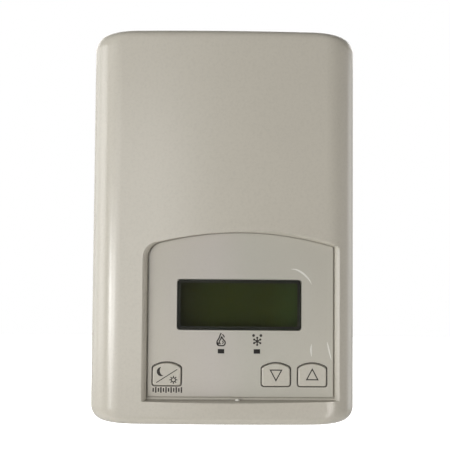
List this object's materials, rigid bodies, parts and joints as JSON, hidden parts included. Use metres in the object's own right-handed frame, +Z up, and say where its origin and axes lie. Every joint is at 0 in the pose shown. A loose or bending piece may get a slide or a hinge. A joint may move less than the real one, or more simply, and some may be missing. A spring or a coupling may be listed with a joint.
{
  "type": "wall thermostat",
  "caption": "Wall room controller: tall rounded cover with a recessed arched panel that holds a display, lamp windows and keys, over a wall plate with a board and plug-in terminals.",
  "frame": {"origin": "centre of the back face of the wall plate, on the wall plane, midway up the cover", "axes": "+Z up, +Y into the wall, +X to the right seen from the room; the front faces -Y"},
  "size_m": [0.086, 0.029, 0.127],
  "materials": {
    "cover_plastic": "fine satin",
    "printed_film": "semi-gloss printed film",
    "clear_window": "polished",
    "light_pipe": "tinted clear",
    "key_plastic": "satin",
    "base_plastic": "fine satin",
    "board_laminate": "solder mask",
    "screw_steel": "zinc plated",
    "switch_plastic": "satin",
    "plunger_plastic": "satin",
    "lamp_resin_heat": "clear resin",
    "lamp_resin_cool": "clear resin",
    "header_plastic": "satin",
    "pin_metal": "tinned",
    "plug_plastic": "satin",
    "clamp_steel": "zinc plated",
    "relay_case": "moulded",
    "capacitor_can": "printed sleeve",
    "inductor_core": "wound copper over a coated core",
    "chip_resin": "moulded resin",
    "crystal_can": "satin",
    "varistor_coating": "dipped resin",
    "socket_plastic": "satin",
    "frame_plastic": "satin",
    "display_glass": "segment display, unlit",
    "light_guide": "diffusing",
    "contact_rubber": "layered silicone",
    "sensor_coating": "dipped resin"
  },
  "bodies": {
    "base": {"base_plate": "base_plastic", "main_board": "board_laminate", "board_screws": "screw_steel", "switch_override": "switch_plastic", "switch_down": "switch_plastic", "switch_up": "switch_plastic", "lamp_heat": "lamp_resin_heat", "lamp_cool": "lamp_resin_cool", "terminal_header_left": "header_plastic", "terminal_header_right": "header_plastic", "terminal_pins_left": "pin_metal", "terminal_pins_right": "pin_metal", "relays": "relay_case", "capacitors": "capacitor_can", "inductor": "inductor_core", "chips": "chip_resin", "crystal": "crystal_can", "varistor": "varistor_coating", "network_header": "socket_plastic", "display_frame": "frame_plastic", "display_glass": "display_glass", "display_backlight": "light_guide", "display_contact_strips": "contact_rubber", "temperature_sensor": "sensor_coating"},
    "cover": {"front_cover": "cover_plastic", "overlay_film": "printed_film", "display_window": "clear_window", "light_pipe_heat": "light_pipe", "light_pipe_cool": "light_pipe"},
    "override_key": {"key_override": "key_plastic"},
    "down_key": {"key_down": "key_plastic"},
    "up_key": {"key_up": "key_plastic"},
    "override_plunger": {"plunger_override": "plunger_plastic"},
    "down_plunger": {"plunger_down": "plunger_plastic"},
    "up_plunger": {"plunger_up": "plunger_plastic"},
    "left_plug": {"terminal_plug_left": "plug_plastic", "plug_screws_left": "clamp_steel"},
    "right_plug": {"terminal_plug_right": "plug_plastic", "plug_screws_right": "clamp_steel"},
    "cover_lock": {"lock_screw": "screw_steel"}
  },
  "joints": [
    {"name": "cover_swing", "type": "hinge", "parent": "base", "child": "cover", "pos_m": [0, -0.004, 0.059], "axis": [-1, 0, 0], "range_deg": [0, 35]},
    {"name": "override_key_press", "type": "slide", "parent": "cover", "child": "override_key", "axis": [0, 1, 0], "range_m": [0, 0.0006], "stiffness_N_per_m": 250},
    {"name": "override_plunger_press", "type": "slide", "parent": "base", "child": "override_plunger", "axis": [0, 1, 0], "range_m": [0, 0.0006]},
    {"name": "down_key_press", "type": "slide", "parent": "cover", "child": "down_key", "axis": [0, 1, 0], "range_m": [0, 0.0006], "stiffness_N_per_m": 250},
    {"name": "down_plunger_press", "type": "slide", "parent": "base", "child": "down_plunger", "axis": [0, 1, 0], "range_m": [0, 0.0006]},
    {"name": "up_key_press", "type": "slide", "parent": "cover", "child": "up_key", "axis": [0, 1, 0], "range_m": [0, 0.0006], "stiffness_N_per_m": 250},
    {"name": "up_plunger_press", "type": "slide", "parent": "base", "child": "up_plunger", "axis": [0, 1, 0], "range_m": [0, 0.0006]},
    {"name": "left_plug_slide", "type": "slide", "parent": "base", "child": "left_plug", "axis": [1, 0, 0], "range_m": [0, 0.008]},
    {"name": "right_plug_slide", "type": "slide", "parent": "base", "child": "right_plug", "axis": [-1, 0, 0], "range_m": [0, 0.008]},
    {"name": "lock_screw_out", "type": "slide", "parent": "cover", "child": "cover_lock", "axis": [0, 0, -1], "range_m": [0, 0.006]}
  ],
  "couplings": [
    {"joint": "override_plunger_press", "follows": "override_key_press", "ratio": 1},
    {"joint": "down_plunger_press", "follows": "down_key_press", "ratio": 1},
    {"joint": "up_plunger_press", "follows": "up_key_press", "ratio": 1}
  ]
}
